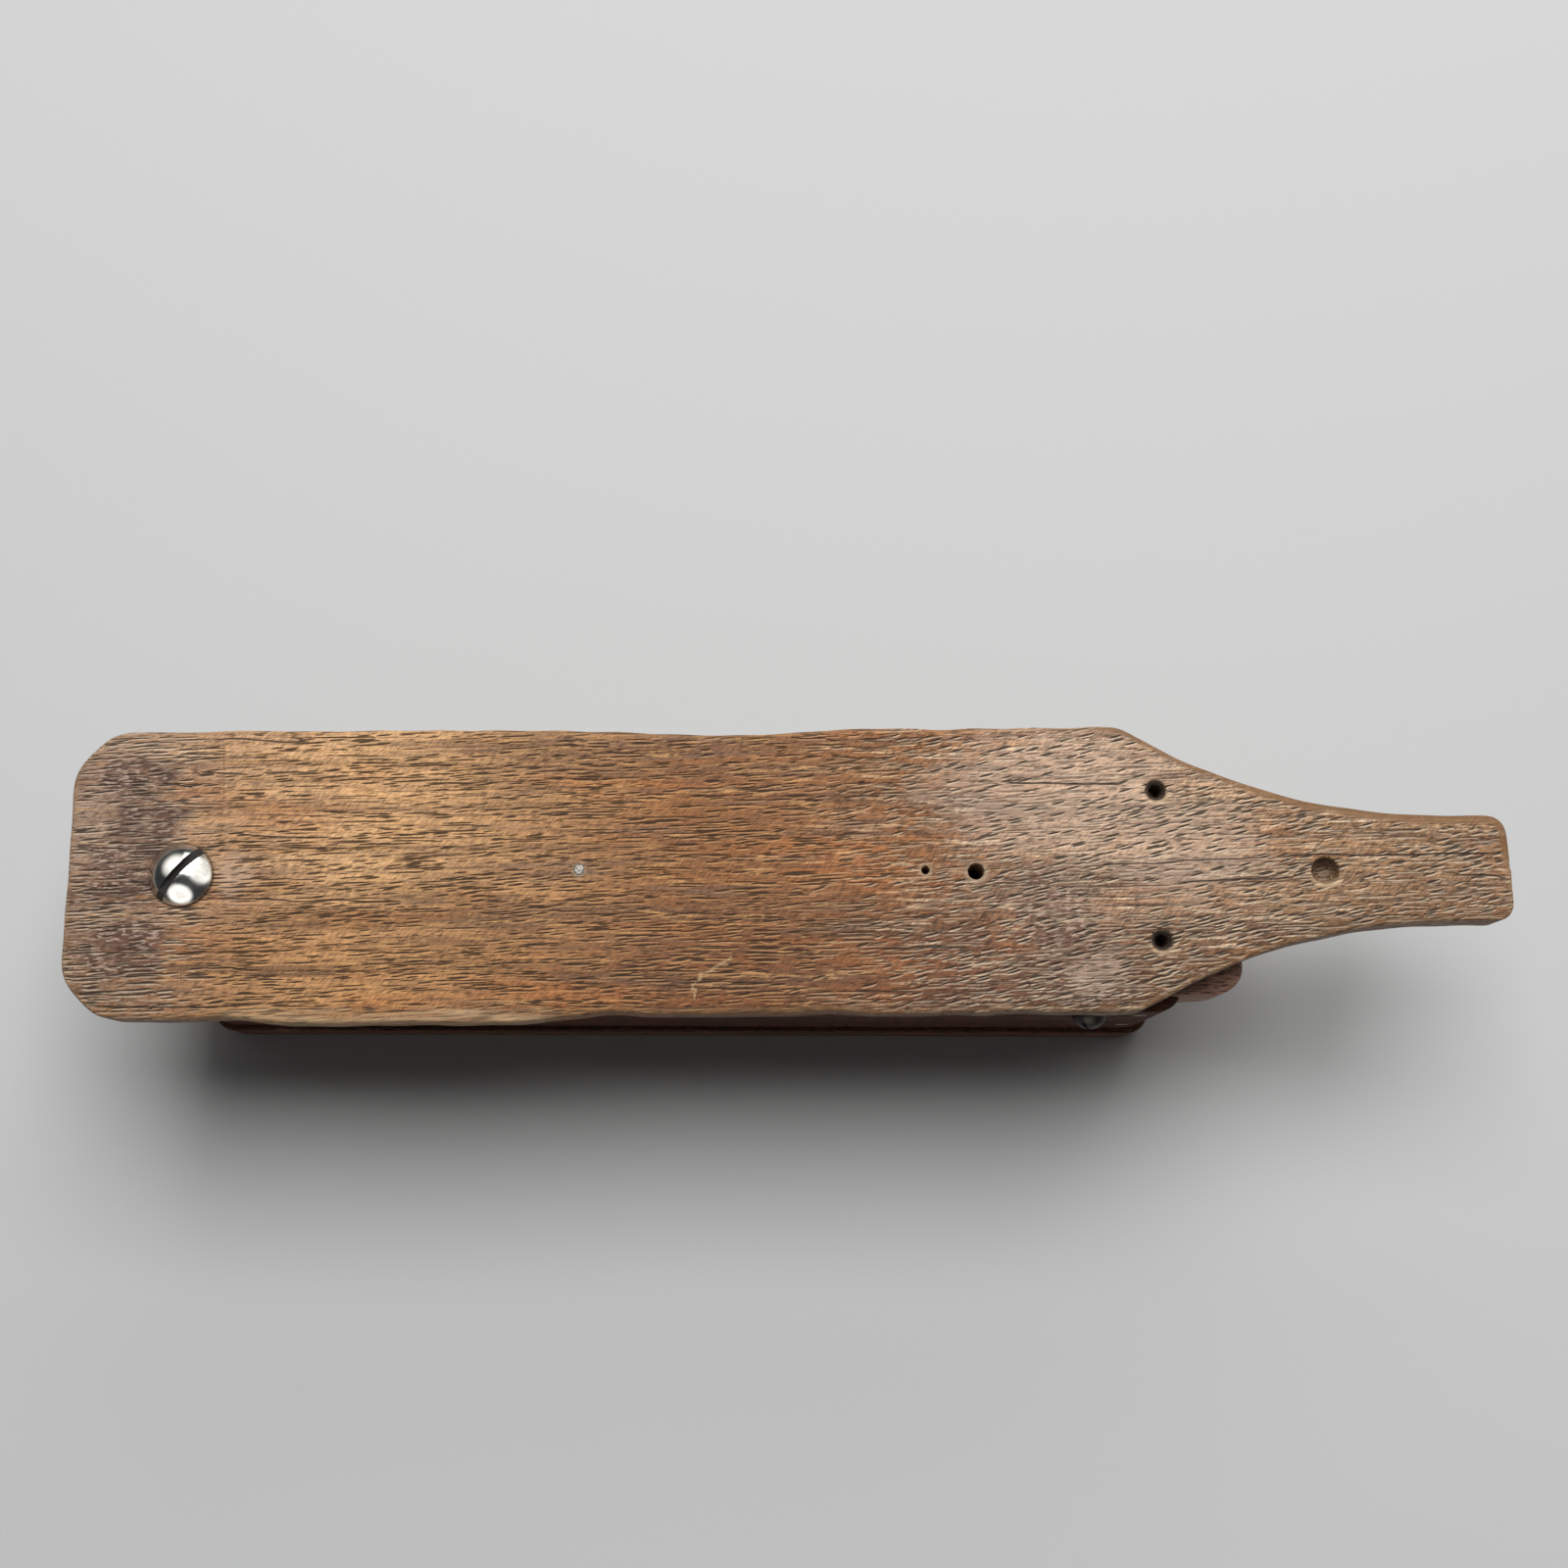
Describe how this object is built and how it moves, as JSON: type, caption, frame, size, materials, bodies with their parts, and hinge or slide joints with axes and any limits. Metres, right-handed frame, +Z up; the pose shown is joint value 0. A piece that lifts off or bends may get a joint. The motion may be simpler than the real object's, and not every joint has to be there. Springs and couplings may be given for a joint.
{
  "type": "turkey box call",
  "caption": "Wooden box call with a thin-sided sound box and a paddle lid that swings and tips on one sprung screw.",
  "frame": {"origin": "middle of the underside of the bottom board", "axes": "+X along the box from the hinge end to the handle end, +Y to the far side board, +Z up"},
  "size_m": [0.2542, 0.0532, 0.0589],
  "materials": {
    "lid_wood": "worn oiled hardwood with open pores",
    "box_wood": "dark oiled mahogany",
    "board_wood": "thin quartered mahogany, oiled",
    "screw_nickel": "nickel plate, handled smooth",
    "spring_steel": "drawn spring wire",
    "nail_steel": "bright drawn nail wire"
  },
  "bodies": {
    "box": {"base_board": "box_wood", "hinge_block": "box_wood", "handle_block": "box_wood", "near_side_board": "board_wood", "far_side_board": "board_wood", "near_hinge_brads": "nail_steel", "near_handle_brads": "nail_steel", "far_hinge_brads": "nail_steel", "far_handle_brads": "nail_steel", "base_hinge_brads": "nail_steel", "base_handle_brads": "nail_steel", "near_band_screw": "screw_nickel", "far_band_screw": "screw_nickel", "pivot_screw": "screw_nickel"},
    "spring": {"pivot_spring": "spring_steel"},
    "lid": {"lid": "lid_wood", "lid_pin": "nail_steel", "spring_washer": "spring_steel"}
  },
  "joints": [
    {"name": "lid_swing", "type": "hinge", "parent": "box", "child": "spring", "pos_m": [-0.08575, 0, 0.0516], "axis": [0, 0, 1], "continuous": true},
    {"name": "lid_tip", "type": "hinge", "parent": "spring", "child": "lid", "pos_m": [-0.08025, 0.00004, 0.0556], "axis": [0.008, -1, 0], "range_deg": [0, 3.5], "stiffness_Nm_per_rad": 0.15, "deforming": ["pivot_spring"]}
  ]
}
